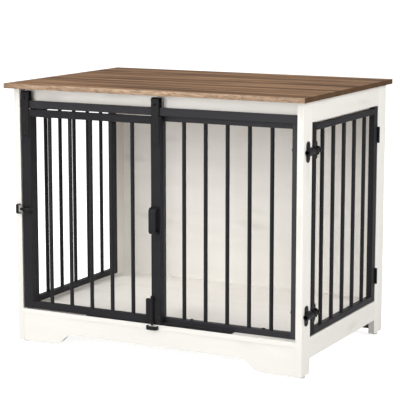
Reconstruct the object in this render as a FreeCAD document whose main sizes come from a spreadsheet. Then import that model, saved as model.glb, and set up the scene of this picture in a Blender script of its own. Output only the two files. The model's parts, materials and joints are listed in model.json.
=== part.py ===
import FreeCAD, Part
import Sketcher
import math
import os
from FreeCAD import Placement, Rotation, Vector

# Furniture pet crate: a white wooden cabinet under a brown top, steel grilles on three sides,
# a front door that rolls along a track and a side door on hinges.
# Millimetres, +Z up, front towards -Y, origin on the floor under the middle of the top board.

sizes = {
    # cabinet
    "cabinet_width": 968,       # over the outsides of the two side frames
    "cabinet_depth": 640,       # from the fronts of the front legs to the backs of the rear legs
    "leg_height": 792,
    "leg_width": 60,            # front legs, front to back
    "rear_leg_width": 66,
    "side_board": 20,           # thickness of legs and side rails
    "side_rail_height": 62,
    "side_rail_lift": 45,       # from the foot of the legs to the lower side rail
    "glide_height": 8,
    "glide_radius": 9,
    "top_thickness": 15,
    "side_overhang": 16,
    "front_overhang": 32,
    "back_overhang": 13,
    "edge_round": 1,            # eased edges of the boards
    "front_board": 15,          # thickness of the front rail and the apron
    "front_rail_height": 62,
    "front_recess": 30,         # front rail and fixed grille, behind the fronts of the legs
    "floor_thickness": 15,
    "floor_height": 110,        # top of the floor board
    "back_thickness": 12,
    "back_lift": 2,             # back panel, above the ends of the legs
    "apron_foot": 108,          # straight foot at each end of the apron
    "apron_curve": 72,          # length of each curve up to the cut-out
    "apron_rise": 34,           # height of the cut-out
    "apron_recess": 3,          # behind the front edge of the floor board
    "dowel_radius": 4,
    "dowel_length": 30,
    "dowel_top": 10,            # how far a dowel reaches into the top board
    "dowel_spread": 36,         # between the two dowels of a joint
    # steel grilles
    "tube_wall": 1.2,
    "tube_corner": 1.5,
    "cap_thickness": 2,
    "panel_stile": 28,
    "panel_rail": 18,
    "panel_depth": 18,
    "panel_clearance": 0.5,
    "left_stile": 25,
    "left_panel_set": 5,        # left grille, inside the inner faces of the legs
    "left_bar_pitch": 84,
    "bar_diameter": 12,
    "bar_wall": 1,
    # rolling front door
    "door_width": 486,
    "door_stile": 32,
    "door_rail": 22,
    "door_depth": 15,
    "door_inset": 1,            # behind the fronts of the legs
    "door_side_gap": 4,
    "door_floor_gap": 4,
    "door_track_gap": 4,
    "stile_overlap": 34,        # how far the door laps over the fixed grille
    # track, hangers and rollers
    "track_height": 23,
    "track_thickness": 8,
    "track_drop": 38,           # from the underside of the top board to the track
    "track_inset": 4,           # behind the fronts of the legs
    "track_plate": 2,
    "track_plate_depth": 24,
    "hanger_width": 26,
    "hanger_strap": 3,
    "hanger_bend": 3,           # inner radius of the strap's bends
    "hanger_reach": 86,         # how far the strap runs down the door
    "hanger_tail": 11,          # how far the hook runs down behind the track
    "hook_room": 5,             # above the roller
    "roller_radius": 9,
    "roller_flange": 3,
    "roller_lift": 0.3,         # running gap over the track
    "roller_play": 0.6,         # beside the roller and beside the track
    "axle_radius": 3,
    "running_gap": 0.05,        # radial gap of a shaft in its hole
    # guide on the floor
    "guide_start": 226,         # from the left leg
    "guide_length": 496,
    "guide_width": 21,
    "guide_base": 2,
    "fin_thickness": 3,
    "fin_height": 9,            # above the floor
    "fin_play": 1.5,            # beside and over the fin
    # pull handle
    "handle_lift": 2,           # middle, above the latch
    "handle_length": 80,
    "handle_width": 22,
    "handle_reach": 26,
    "handle_strap": 6,
    "handle_bend": 6,
    # slide bolts
    "bolt_radius": 4,
    "bolt_offset": 8,           # from the mounting face to the middle of the bolt
    "bolt_plate": 2,
    "plate_corner": 6,
    "loop_length": 5,
    "loop_wall": 2,
    "knob_radius": 3,
    "knob_length": 8,
    "knob_slack": 0.5,
    "tip_gap": 1,               # between an open bolt and its keeper
    "latch_rise": 312,          # above the foot of the door
    "latch_length": 30,         # plate, along the bolt
    "latch_width": 38,          # plate, across the bolt
    "latch_inset": 6,
    "drop_length": 72,
    "drop_width": 48,
    "drop_lift": 4,             # above the foot of the door
    "drop_inset": 6,            # bolt, from the left edge of its stile
    "drop_throw": 12,
    "drop_knob": 30,            # above the foot of the plate
    "side_bolt_drop": 78.5,     # upper bolt, under the head of the side door
    "side_bolt_rise": 66.5,     # lower bolt, above its foot
    "side_bolt_length": 30,
    "side_bolt_width": 54,
    "side_bolt_inset": 1,
    "side_bolt_radius": 5.4,
    "side_loop_length": 7,
    "side_loop_wall": 2.4,
    "side_boss": 11,            # half the height of the block under a barrel
    "side_plate_corner": 11,
    # keepers
    "staple_strap": 2,
    "staple_bend": 3,
    "staple_width": 10,
    "staple_span": 30,
    "staple_reach": 15,
    "staple_root": 12,
    "staple_inset": 1,          # from the inner edge of the leg
    "drop_staple_span": 36,
    "drop_staple_width": 12,
    "drop_staple_lift": 1.5,    # above the underside of the floor board
    "keeper_width": 24,
    "keeper_length": 60,
    "keeper_barrel": 7.8,
    "keeper_bore": 6,
    "keeper_edge": 3.5,         # barrel, from the rear edge of the leg
    "keeper_nose": 8,           # barrel, past the front of the plate
    # side door and hinges
    "side_door_gap": 3.4,       # latch side and hinge side
    "side_door_play": 2.5,      # above and below
    "stile_horn": 5,            # stiles, past the rails
    "side_bar_pitch": 81.3,
    "hinge_drop": 88.5,         # upper hinge, under the head of the side door
    "hinge_rise": 80.5,         # lower hinge, above its foot
    "hinge_length": 50,
    "hinge_leaf": 1.5,
    "hinge_depth": 22,          # leaf, from the pin into the gap
    "hinge_pin": 1.6,
    "hinge_knuckle": 3.5,
    "hinge_out": 3.6,           # pin, outside the cabinet
    "knuckle_gap": 0.3,
    # fasteners
    "screw_radius": 2,
    "screw_head": 3.5,
    "screw_head_height": 2,
    "panel_head": 6.5,          # larger heads inside the fixed grilles
    "panel_head_height": 4,
    "screw_depth": 15,          # in wood
    "rivet_tail": 4,            # inside a tube
    "nut_height": 3.2,
    "nut_radius": 4,
}
bar_count = 5                   # upright bars in each grille

doc = FreeCAD.newDocument("pet_crate")
sheet = doc.addObject("Spreadsheet::Sheet", "Sizes")
for row, (alias, number) in enumerate(sizes.items(), start=1):
    sheet.set(f"A{row}", alias.replace("_", " "))
    sheet.set(f"B{row}", str(number))
    sheet.setAlias(f"B{row}", alias)
doc.recompute()


class Length:
    """A length with its formula over the sheet's cells and its value."""

    def __init__(self, formula, value):
        self.formula = formula
        self.value = value

    def __add__(self, other):
        other = length(other)
        return Length(f"({self.formula} + {other.formula})", self.value + other.value)

    def __sub__(self, other):
        other = length(other)
        return Length(f"({self.formula} - {other.formula})", self.value - other.value)

    def __mul__(self, factor):
        factor = length(factor)
        return Length(f"({self.formula} * {factor.formula})", self.value * factor.value)

    def __truediv__(self, factor):
        factor = length(factor)
        return Length(f"({self.formula} / {factor.formula})", self.value / factor.value)

    def __neg__(self):
        return Length(f"(0 - {self.formula})", -self.value)

    def __radd__(self, other):
        return length(other) + self

    def __rsub__(self, other):
        return length(other) - self


def length(number):
    if isinstance(number, Length):
        return number
    return Length(f"{number:g}", float(number))


class Sheet:
    """Each cell of the sheet as a Length, by its alias."""

    def __getattr__(self, alias):
        return Length(f"Sizes.{alias}", float(sheet.get(alias)))


cell = Sheet()
pieces = {}                     # node name: its object, before holes
bores = {}                      # node name: what is cut out of it
axis_turns = {                  # local X, Y and Z of a piece that runs along an axis
    "x": (Vector(0, 1, 0), Vector(0, 0, 1), Vector(1, 0, 0)),
    "y": (Vector(0, 0, 1), Vector(1, 0, 0), Vector(0, 1, 0)),
    "z": (Vector(1, 0, 0), Vector(0, 1, 0), Vector(0, 0, 1)),
}
section_axes = {"x": "yz", "y": "zx", "z": "xy"}


def bind(item, name, formula):
    item.setExpression(name, length(formula).formula)


def place(item, corner, turn=axis_turns["z"]):
    item.Placement = Placement(Vector(), Rotation(*turn, "XYZ"))
    for axis, offset in zip("xyz", corner):
        bind(item, f"Placement.Base.{axis}", offset)
    return item


def block(name, x, y, z):
    box = doc.addObject("Part::Box", name)
    for side, (low, high) in zip(("Length", "Width", "Height"), (x, y, z)):
        bind(box, side, high - low)
    return place(box, (x[0], y[0], z[0]))


def rod(name, axis, middle, span, radius):
    """A cylinder along an axis; middle holds its other two coordinates in x, y, z order."""
    cylinder = doc.addObject("Part::Cylinder", name)
    bind(cylinder, "Radius", radius)
    bind(cylinder, "Height", span[1] - span[0])
    corner = list(middle)
    corner.insert("xyz".index(axis), span[0])
    return place(cylinder, corner, axis_turns[axis])


def group(name, items):
    compound = doc.addObject("Part::Compound", name)
    compound.Links = items
    return compound


def fuse(name, items):
    union = doc.addObject("Part::MultiFuse", name)
    union.Shapes = items
    return union


def cut(name, base, tool):
    difference = doc.addObject("Part::Cut", name)
    difference.Base = base
    difference.Tool = tool
    return difference


def piece(label, item):
    pieces[label] = item
    return item


def pierce(tool, *labels):
    for label in labels:
        bores.setdefault(label, []).append(tool)


def draw_loop(sketch, corners):
    """A closed loop of (u, v, bend) corners; a bend (u, v, radius) rounds the edge leaving the corner."""
    first = sketch.GeometryCount
    ends = []
    for index, (u, v, bend) in enumerate(corners):
        next_u, next_v, _ = corners[(index + 1) % len(corners)]
        start = Vector(u.value, v.value, 0)
        finish = Vector(next_u.value, next_v.value, 0)
        if bend is None:
            sketch.addGeometry(Part.LineSegment(start, finish))
            ends.append((1, 2))
            continue
        hub = Vector(bend[0].value, bend[1].value, 0)
        ray_in, ray_out = start - hub, finish - hub
        left_turn = ray_in.cross(ray_out).z > 0
        if not left_turn:
            ray_in, ray_out = ray_out, ray_in
        circle = Part.Circle(hub, Vector(0, 0, 1), bend[2].value)
        from_angle = math.atan2(ray_in.y, ray_in.x)
        to_angle = math.atan2(ray_out.y, ray_out.x)
        if to_angle < from_angle:
            to_angle += 2 * math.pi
        sketch.addGeometry(Part.ArcOfCircle(circle, from_angle, to_angle))
        ends.append((1, 2) if left_turn else (2, 1))
    for index, (u, v, bend) in enumerate(corners):
        before = (index - 1) % len(corners)
        this_edge, last_edge = first + index, first + before
        link = Sketcher.Constraint("Coincident", last_edge, ends[before][1], this_edge, ends[index][0])
        sketch.addConstraint(link)
        pin(sketch, Sketcher.Constraint("DistanceX", this_edge, ends[index][0], u.value), u)
        pin(sketch, Sketcher.Constraint("DistanceY", this_edge, ends[index][0], v.value), v)
        if bend is not None:
            pin(sketch, Sketcher.Constraint("Radius", this_edge, bend[2].value), bend[2])


def pin(sketch, constraint, formula):
    index = sketch.addConstraint(constraint)
    sketch.setExpression(f"Constraints[{index}]", formula.formula)


def extrusion(name, loops, height, corner, turn, ease=None):
    """A body padded from closed loops, turned and placed; ease rounds all its edges."""
    body = doc.addObject("PartDesign::Body", name)
    sketch = body.newObject("Sketcher::SketchObject", f"{name}_outline")
    ground = [item for item in body.Origin.OriginFeatures if item.Role == "XY_Plane"]
    sketch.AttachmentSupport = [(ground[0], "")]
    sketch.MapMode = "FlatFace"
    for corners in loops:
        draw_loop(sketch, [(length(u), length(v), bend) for u, v, bend in corners])
    pad = body.newObject("PartDesign::Pad", f"{name}_pad")
    pad.Profile = sketch
    bind(pad, "Length", height)
    if ease is not None:
        doc.recompute()
        rounding = body.newObject("PartDesign::Fillet", f"{name}_ease")
        rounding.Base = (pad, ["Edge1"])
        rounding.UseAllEdges = True
        bind(rounding, "Radius", ease)
        body.Tip = rounding
    return place(body, corner, turn)


def rectangle(low, high):
    corners = (low, (high[0], low[1]), high, (low[0], high[1]))
    return [(across, up, None) for across, up in corners]


def rounded_rectangle(wide, tall, corner):
    """A rectangle from the origin with round corners."""
    wide, tall, corner = length(wide), length(tall), length(corner)
    right, upper = wide - corner, tall - corner
    none = length(0)
    return [
        (corner, none, None), (right, none, (right, corner, corner)),
        (wide, corner, None), (wide, upper, (right, upper, corner)),
        (right, tall, None), (corner, tall, (corner, upper, corner)),
        (none, upper, None), (none, corner, (corner, corner, corner)),
    ]


def board(label, x, y, z):
    size = [high - low for low, high in (x, y, z)]
    corner = (x[0], y[0], z[0])
    outline = rectangle((0, 0), size[:2])
    stock = extrusion(f"{label}_board", [outline], size[2], corner, axis_turns["z"], cell.edge_round)
    return piece(label, stock)


def tube(name, axis, x, y, z, hollow=True):
    spans = {"x": x, "y": y, "z": z}
    wide, tall = (spans[side][1] - spans[side][0] for side in section_axes[axis])
    run = spans[axis][1] - spans[axis][0]
    loops = [rounded_rectangle(wide, tall, cell.tube_corner)]
    if hollow:
        wall = cell.tube_wall
        loops.append(rectangle((wall, wall), (wide - wall, tall - wall)))
    return extrusion(name, loops, run, (x[0], y[0], z[0]), axis_turns[axis])


def bow(name, span, reach, roots, strap, bend, width, corner, turn):
    """A strap bent to a U: span along local X, reach along local Y, roots behind the base line."""
    half, outer = span / 2, bend + strap
    shoulder = reach - outer
    left, right = -half, half
    turn_left, turn_right = left + outer, right - outer
    outline = [
        (left, -roots[0], None), (left + strap, -roots[0], None),
        (left + strap, shoulder, (turn_left, shoulder, bend)), (turn_left, reach - strap, None),
        (turn_right, reach - strap, (turn_right, shoulder, bend)), (right - strap, shoulder, None),
        (right - strap, -roots[1], None), (right, -roots[1], None),
        (right, shoulder, (turn_right, shoulder, outer)), (turn_right, reach, None),
        (turn_left, reach, (turn_left, shoulder, outer)), (left, shoulder, None),
    ]
    return extrusion(name, [outline], width, corner, turn)


small_head = (cell.screw_head, cell.screw_head_height)
large_head = (cell.panel_head, cell.panel_head_height)


def screw(name, axis, middle, seat, tip, head=small_head):
    """A pan-head screw along an axis from the seat of its head to its tip."""
    radius, rise = head
    forward = tip.value > seat.value
    span = (seat, tip) if forward else (tip, seat)
    shank = rod(f"{name}_shank", axis, middle, span, cell.screw_radius)
    crown = (seat - rise, seat) if forward else (seat, seat + rise)
    cap = rod(f"{name}_head", axis, middle, crown, radius)
    return fuse(name, [shank, cap])


def bar_places(low, high):
    """The middles of the bars between two stiles, with equal gaps."""
    gap = (high - low - cell.bar_diameter * bar_count) / (bar_count + 1)
    step = gap + cell.bar_diameter
    return [low + gap + cell.bar_diameter / 2 + step * index for index in range(bar_count)]


def pitched_places(low, high, pitch):
    """The middles of the bars between two stiles, at a set pitch."""
    return [(low + high) / 2 + pitch * (index - (bar_count - 1) / 2) for index in range(bar_count)]


def bars(label, across, places, depth, z):
    middle = (depth[0] + depth[1]) / 2
    outer, inner = [], []
    for index, place_along in enumerate(places):
        centre = (place_along, middle) if across == "x" else (middle, place_along)
        outer.append(rod(f"{label}_{index}", "z", centre, z, cell.bar_diameter / 2))
        inner.append(rod(f"{label}_core_{index}", "z", centre, z, cell.bar_diameter / 2 - cell.bar_wall))
    return piece(label, cut(f"{label}_tubes", group(f"{label}_rods", outer), group(f"{label}_cores", inner)))


def spread(across, along, depth, z):
    """x, y and z spans of a tube in a grille that runs along x or y."""
    return (along, depth, z) if across == "x" else (depth, along, z)


# Main planes
half_width = cell.cabinet_width / 2
inner_x = half_width - cell.side_board
top_depth = cell.cabinet_depth + cell.front_overhang + cell.back_overhang
front_y = cell.front_overhang - top_depth / 2
back_y = front_y + cell.cabinet_depth
leg_foot = cell.glide_height
leg_top = leg_foot + cell.leg_height
opening_front = front_y + cell.leg_width
opening_back = back_y - cell.rear_leg_width
opening_low = leg_foot + cell.side_rail_lift + cell.side_rail_height
opening_high = leg_top - cell.side_rail_height
floor_under = cell.floor_height - cell.floor_thickness
rail_under = leg_top - cell.front_rail_height
sides = {"left": (-half_width, -inner_x), "right": (inner_x, half_width)}
leg_spans = {"front": (front_y, opening_front), "rear": (opening_back, back_y)}

# Cabinet boards
board(
    "top_board",
    (-half_width - cell.side_overhang, half_width + cell.side_overhang),
    (-top_depth / 2, top_depth / 2),
    (leg_top, leg_top + cell.top_thickness),
)
for side, x_span in sides.items():
    for end, y_span in leg_spans.items():
        board(f"{end}_{side}_leg", x_span, y_span, (leg_foot, leg_top))
    rail_run = (opening_front, opening_back)
    board(f"{side}_top_rail", x_span, rail_run, (opening_high, leg_top))
    board(f"{side}_bottom_rail", x_span, rail_run, (leg_foot + cell.side_rail_lift, opening_low))
between_legs = (-inner_x, inner_x)
rail_face = front_y + cell.front_recess
board("front_top_rail", between_legs, (rail_face, rail_face + cell.front_board), (rail_under, leg_top))
back_face = back_y - cell.back_thickness
board("floor_board", between_legs, (front_y, back_face), (floor_under, cell.floor_height))
board("back_panel", between_legs, (back_face, back_y), (leg_foot + cell.back_lift, leg_top))

# Apron with an ogee cut-out between its two feet
foot_end = inner_x - cell.apron_foot
curve_end = foot_end - cell.apron_curve
arch = leg_foot + cell.apron_rise
curve_middle = (foot_end + curve_end) / 2
half_rise = leg_foot + cell.apron_rise / 2
square = cell.apron_curve * cell.apron_curve + cell.apron_rise * cell.apron_rise
curve_radius = square / (cell.apron_rise * 4)
curve_low, curve_high = leg_foot + curve_radius, arch - curve_radius
apron_outline = [
    (-inner_x, leg_foot, None), (-foot_end, leg_foot, (-foot_end, curve_low, curve_radius)),
    (-curve_middle, half_rise, (-curve_end, curve_high, curve_radius)), (-curve_end, arch, None),
    (curve_end, arch, (curve_end, curve_high, curve_radius)),
    (curve_middle, half_rise, (foot_end, curve_low, curve_radius)), (foot_end, leg_foot, None),
    (inner_x, leg_foot, None), (inner_x, floor_under, None), (-inner_x, floor_under, None),
]
upright_turn = (Vector(1, 0, 0), Vector(0, 0, 1), Vector(0, -1, 0))
apron_face = front_y + cell.apron_recess
apron_corner = (length(0), apron_face + cell.front_board, length(0))
piece("front_apron", extrusion("apron_board", [apron_outline], cell.front_board, apron_corner, upright_turn))

# Glides under the legs
glides = []
for side, x_span in sides.items():
    for end, y_span in leg_spans.items():
        middle = ((x_span[0] + x_span[1]) / 2, (y_span[0] + y_span[1]) / 2)
        glides.append(rod(f"glide_{end}_{side}", "z", middle, (length(0), leg_foot), cell.glide_radius))
piece("leg_glides", group("glide_set", glides))

# Dowels that join the boards
dowels = []


def dowel(axis, middle, joint, reach, *labels):
    stick = rod(f"dowel_{len(dowels)}", axis, middle, (joint - reach[0], joint + reach[1]), cell.dowel_radius)
    dowels.append(stick)
    pierce(stick, *labels)


half_dowel = cell.dowel_length / 2
even = (half_dowel, half_dowel)
apart = cell.dowel_spread / 2
for side, x_span in sides.items():
    side_x = (x_span[0] + x_span[1]) / 2
    side_joint = inner_x if side == "right" else -inner_x
    rails = {"top": (opening_high + leg_top) / 2, "bottom": opening_low - cell.side_rail_height / 2}
    for level, rail_middle in rails.items():
        for height in (rail_middle - apart, rail_middle + apart):
            rail = f"{side}_{level}_rail"
            dowel("y", (side_x, height), opening_front, even, rail, f"front_{side}_leg")
            dowel("y", (side_x, height), opening_back, even, rail, f"rear_{side}_leg")
    front_middle = rail_face + cell.front_board / 2
    apron_middle = apron_face + cell.front_board / 2
    back_middle = back_y - cell.back_thickness / 2
    for step in (-apart, apart):
        rail_spot = (front_middle, (rail_under + leg_top) / 2 + step)
        apron_spot = (apron_middle, (leg_foot + floor_under) / 2 + step)
        dowel("x", rail_spot, side_joint, even, "front_top_rail", f"front_{side}_leg")
        dowel("x", apron_spot, side_joint, even, "front_apron", f"front_{side}_leg")
    for share in (1, 2, 3):
        floor_y = opening_front + (opening_back - opening_front) * share / 4
        floor_z = cell.floor_height - cell.floor_thickness / 2
        dowel("x", (floor_y, floor_z), side_joint, even, "floor_board", f"{side}_bottom_rail")
        back_z = opening_low + (opening_high - opening_low) * share / 4
        dowel("x", (back_middle, back_z), side_joint, even, "back_panel", f"rear_{side}_leg")
    for end, y_span in leg_spans.items():
        top_spot = (side_x, (y_span[0] + y_span[1]) / 2)
        reach = (cell.dowel_length - cell.dowel_top, cell.dowel_top)
        dowel("z", top_spot, leg_top, reach, "top_board", f"{end}_{side}_leg")
piece("dowel_pins", group("dowel_set", dowels))

# Fixed grille on the right of the front
door_left = -inner_x + cell.door_side_gap
door_right = door_left + cell.door_width
panel_left = door_right - cell.stile_overlap
panel_right = inner_x - cell.panel_clearance
panel_y = (rail_face, rail_face + cell.panel_depth)
panel_z = (cell.floor_height, rail_under - cell.panel_clearance)


def grille(label, across, along, depth, z, stile, places):
    """Two full-height stiles, two rails between them and the bars at their places."""
    rail = cell.panel_rail
    low, high = along[0] + stile, along[1] - stile
    names = ("left_stile", "right_stile") if across == "x" else ("front_stile", "rear_stile")
    for name, span in zip(names, ((along[0], low), (high, along[1]))):
        piece(f"{label}_{name}", tube(f"{label}_{name}_tube", "z", *spread(across, span, depth, z)))
    heights = {"lower": (z[0], z[0] + rail), "upper": (z[1] - rail, z[1])}
    rails = []
    for name, height in heights.items():
        run = spread(across, (low, high), depth, height)
        rails.append(tube(f"{label}_{name}_rail", across, *run))
    piece(f"{label}_rails", group(f"{label}_rail_pair", rails))
    bars(f"{label}_bars", across, places, depth, (z[0] + rail, z[1] - rail))


panel_places = bar_places(panel_left + cell.panel_stile, panel_right - cell.panel_stile)
grille("front_panel", "x", (panel_left, panel_right), panel_y, panel_z, cell.panel_stile, panel_places)

# Fixed grille in the left side, between the legs
left_face = cell.left_panel_set - inner_x
left_x = (left_face - cell.panel_depth, left_face)
left_y = (opening_front + cell.panel_clearance, opening_back - cell.panel_clearance)
left_z = (opening_low, opening_high - cell.panel_clearance)
left_places = pitched_places(*left_y, cell.left_bar_pitch)
grille("left_panel", "y", left_y, left_x, left_z, cell.left_stile, left_places)

# Screws through the fixed grilles into the boards
cabinet_screws = []
panel_middle = (panel_y[0] + panel_y[1]) / 2
left_middle = (left_x[0] + left_x[1]) / 2
panel_heights = [panel_z[0] + (panel_z[1] - panel_z[0]) * share / 8 for share in (1, 7)]
left_heights = [left_z[0] + (left_z[1] - left_z[0]) * share / 8 for share in (1, 7)]
panel_spots = [panel_left + (panel_right - panel_left) * share / 4 for share in (1, 3)]


def panel_screw(axis, middle, seat, tip, *labels, head=large_head):
    item = screw(f"panel_screw_{len(cabinet_screws)}", axis, middle, seat, tip, head)
    cabinet_screws.append(item)
    pierce(item, *labels)


for height in panel_heights:
    seat, tip = panel_right - cell.panel_stile, inner_x + cell.screw_depth
    panel_screw("x", (panel_middle, height), seat, tip, "front_panel_right_stile", "front_right_leg")
for spot in panel_spots:
    seat, tip = panel_z[0] + cell.panel_rail, cell.floor_height - cell.screw_depth / 2
    panel_screw("z", (spot, panel_middle), seat, tip, "front_panel_rails", "floor_board")
for height in left_heights:
    seat, tip = left_y[0] + cell.left_stile, opening_front - cell.screw_depth
    panel_screw("y", (left_middle, height), seat, tip, "left_panel_front_stile", "front_left_leg")
    seat, tip = left_y[1] - cell.left_stile, opening_back + cell.screw_depth
    panel_screw("y", (left_middle, height), seat, tip, "left_panel_rear_stile", "rear_left_leg")

# Track between the front legs, with a plate on each end
track_high = leg_top - cell.track_drop
track_z = (track_high - cell.track_height, track_high)
track_y = (front_y + cell.track_inset, front_y + cell.track_inset + cell.track_thickness)
track_middle = (track_y[0] + track_y[1]) / 2
track_parts = [block("track_bar", between_legs, track_y, track_z)]
plate_back = track_y[0] + cell.track_plate_depth
plate_screw_y = (track_y[1] + plate_back) / 2
for side in sides:
    inside, outside = inner_x - cell.track_plate, inner_x
    plate_x = (inside, outside) if side == "right" else (-outside, -inside)
    track_parts.append(block(f"track_plate_{side}", plate_x, (track_y[0], plate_back), track_z))
    seat = inside if side == "right" else -inside
    tip = outside + cell.screw_depth if side == "right" else -outside - cell.screw_depth
    spot = (plate_screw_y, track_high - cell.track_height / 2)
    panel_screw("x", spot, seat, tip, "door_track", f"front_{side}_leg", head=small_head)
piece("door_track", fuse("track_with_plates", track_parts))

# Rolling door
door_y = (front_y + cell.door_inset, front_y + cell.door_inset + cell.door_depth)
door_middle = (door_y[0] + door_y[1]) / 2
door_z = (cell.floor_height + cell.door_floor_gap, track_z[0] - cell.door_track_gap)
stile_z = (door_z[0] + cell.cap_thickness, door_z[1] - cell.cap_thickness)
stile_spans = {
    "left": (door_left, door_left + cell.door_stile),
    "right": (door_right - cell.door_stile, door_right),
}
between_stiles = (stile_spans["left"][1], stile_spans["right"][0])
door_caps = []
for side, span in stile_spans.items():
    piece(f"sliding_door_{side}_stile", tube(f"door_{side}_stile", "z", span, door_y, stile_z))
    for end, cap_z in (("foot", (door_z[0], stile_z[0])), ("head", (stile_z[1], door_z[1]))):
        door_caps.append(tube(f"door_cap_{side}_{end}", "z", span, door_y, cap_z, hollow=False))
piece("sliding_door_caps", group("door_cap_set", door_caps))
door_rails = {
    "bottom": (door_z[0], door_z[0] + cell.door_rail),
    "top": (door_z[1] - cell.door_rail, door_z[1]),
}
for level, height in door_rails.items():
    rail = tube(f"door_{level}_rail", "x", between_stiles, door_y, height)
    piece(f"sliding_door_{level}_rail", rail)
bar_z = (door_rails["bottom"][1], door_rails["top"][0])
bars("sliding_door_bars", "x", bar_places(*between_stiles), door_y, bar_z)

# Guide fin on the floor and the slot for it along the foot of the door
guide_left = cell.guide_start - inner_x
guide_x = (guide_left, guide_left + cell.guide_length)
guide_y = (track_y[0], track_y[0] + cell.guide_width)
fin_y = (door_middle - cell.fin_thickness / 2, door_middle + cell.fin_thickness / 2)
floor_top = cell.floor_height
guide_foot = block("guide_base", guide_x, guide_y, (floor_top, floor_top + cell.guide_base))
guide_fin = block("guide_fin", guide_x, fin_y, (floor_top, floor_top + cell.fin_height))
piece("floor_guide", fuse("guide_strip", [guide_foot, guide_fin]))
slot_y = (fin_y[0] - cell.fin_play, fin_y[1] + cell.fin_play)
slot_top = floor_top + cell.fin_height + cell.fin_play
door_slot = block("door_slot", (door_left, door_right), slot_y, (door_z[0], slot_top))
pierce(door_slot, "sliding_door_left_stile", "sliding_door_right_stile")
pierce(door_slot, "sliding_door_bottom_rail", "sliding_door_caps")
guide_screw_y = (door_y[1] + guide_y[1]) / 2
for share in (1, 3, 5):
    spot = (guide_left + cell.guide_length * share / 6, guide_screw_y)
    seat, tip = floor_top + cell.guide_base, floor_top - cell.screw_depth / 2
    panel_screw("z", spot, seat, tip, "floor_guide", "floor_board", head=small_head)

# Hangers with a roller on the track, bolted to the door's stiles
roller_z = track_high + cell.roller_lift + cell.roller_radius
flange_radius = cell.roller_radius + cell.roller_flange
hook_room = (track_middle - door_y[0]) * 2
hook_span = hook_room + cell.hanger_strap * 2
hook_crown = roller_z + flange_radius + cell.hook_room + cell.hanger_strap
hook_y = (door_y[0] - cell.hanger_strap, door_y[0] + hook_room + cell.hanger_strap)
hanger_foot = door_z[1] - cell.hanger_reach
hook_foot = track_high - cell.hanger_tail
bolt_heights = [
    hanger_foot + cell.hanger_width / 2,
    door_rails["top"][0] - cell.hanger_strap * 3,
]
axles, hanger_bolts = [], []
hang_turn = (Vector(0, 1, 0), Vector(0, 0, 1), Vector(1, 0, 0))
for side, span in stile_spans.items():
    stile_middle = (span[0] + span[1]) / 2
    hanger_left = stile_middle - cell.hanger_width / 2
    roots = (roller_z - hanger_foot, roller_z - hook_foot)
    hanger = bow(
        f"{side}_hanger_strap", hook_span, hook_crown - roller_z, roots, cell.hanger_strap, cell.hanger_bend,
        cell.hanger_width, (hanger_left, track_middle, roller_z), hang_turn,
    )
    piece(f"{side}_hanger", hanger)
    axle = rod(f"{side}_axle", "y", (stile_middle, roller_z), hook_y, cell.axle_radius)
    axles.append(axle)
    pierce(axle, f"{side}_hanger")
    wheel_y = (door_y[0] + cell.roller_play, door_y[0] + hook_room - cell.roller_play)
    groove_y = (track_y[0] - cell.roller_play, track_y[1] + cell.roller_play)
    hub = rod(f"{side}_roller_hub", "y", (stile_middle, roller_z), wheel_y, cell.roller_radius)
    flanges = [
        rod(f"{side}_flange_front", "y", (stile_middle, roller_z), (wheel_y[0], groove_y[0]), flange_radius),
        rod(f"{side}_flange_back", "y", (stile_middle, roller_z), (groove_y[1], wheel_y[1]), flange_radius),
    ]
    wheel = fuse(f"{side}_wheel", [hub] + flanges)
    bore_radius = cell.axle_radius + cell.running_gap
    bore = rod(f"{side}_wheel_bore", "y", (stile_middle, roller_z), wheel_y, bore_radius)
    piece(f"{side}_roller", cut(f"{side}_bored_wheel", wheel, bore))
    for index, height in enumerate(bolt_heights):
        spot = (stile_middle, height)
        nut_end = door_y[1] + cell.nut_height
        bolt = screw(f"hanger_bolt_{side}_{index}", "y", spot, hook_y[0], nut_end)
        nut = rod(f"hanger_nut_{side}_{index}", "y", spot, (door_y[1], nut_end), cell.nut_radius)
        hanger_bolts += [bolt, cut(f"tapped_nut_{side}_{index}", nut, bolt)]
        pierce(bolt, f"{side}_hanger", f"sliding_door_{side}_stile")
piece("roller_axles", group("axle_pair", axles))
piece("hanger_bolts", group("hanger_bolt_set", hanger_bolts))

# Pull handle on the right stile
right_stile = stile_spans["right"]
right_middle = (right_stile[0] + right_stile[1]) / 2
out_turn = (Vector(0, 0, 1), Vector(0, -1, 0), Vector(1, 0, 0))
latch_z = door_z[0] + cell.latch_rise
handle_z = latch_z + cell.handle_lift
handle_corner = (right_middle - cell.handle_width / 2, door_y[0], handle_z)
handle = bow(
    "handle_bow", cell.handle_length, cell.handle_reach, (length(0), length(0)), cell.handle_strap,
    cell.handle_bend, cell.handle_width, handle_corner, out_turn,
)
piece("pull_handle", handle)
door_screws = []


def door_screw(axis, middle, seat, tip, *labels):
    item = screw(f"door_screw_{len(door_screws)}", axis, middle, seat, tip)
    door_screws.append(item)
    pierce(item, *labels)


grip_offset = (cell.handle_length - cell.handle_strap) / 2
for height in (handle_z - grip_offset, handle_z + grip_offset):
    tip = door_y[0] - cell.handle_reach / 2
    door_screw("y", (right_middle, height), door_y[1], tip, "sliding_door_right_stile", "pull_handle")


door_make = {
    "radius": cell.bolt_radius, "wall": cell.loop_wall, "loop": cell.loop_length,
    "boss": cell.bolt_radius + cell.loop_wall, "corner": cell.plate_corner,
}
side_make = {
    "radius": cell.side_bolt_radius, "wall": cell.side_loop_wall, "loop": cell.side_loop_length,
    "boss": cell.side_boss, "corner": cell.side_plate_corner,
}


def open_knob(make):
    """The middle of a bolt's knob, from the end of its plate, when the bolt is drawn back."""
    return make["loop"] + cell.knob_slack + cell.knob_radius


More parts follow.
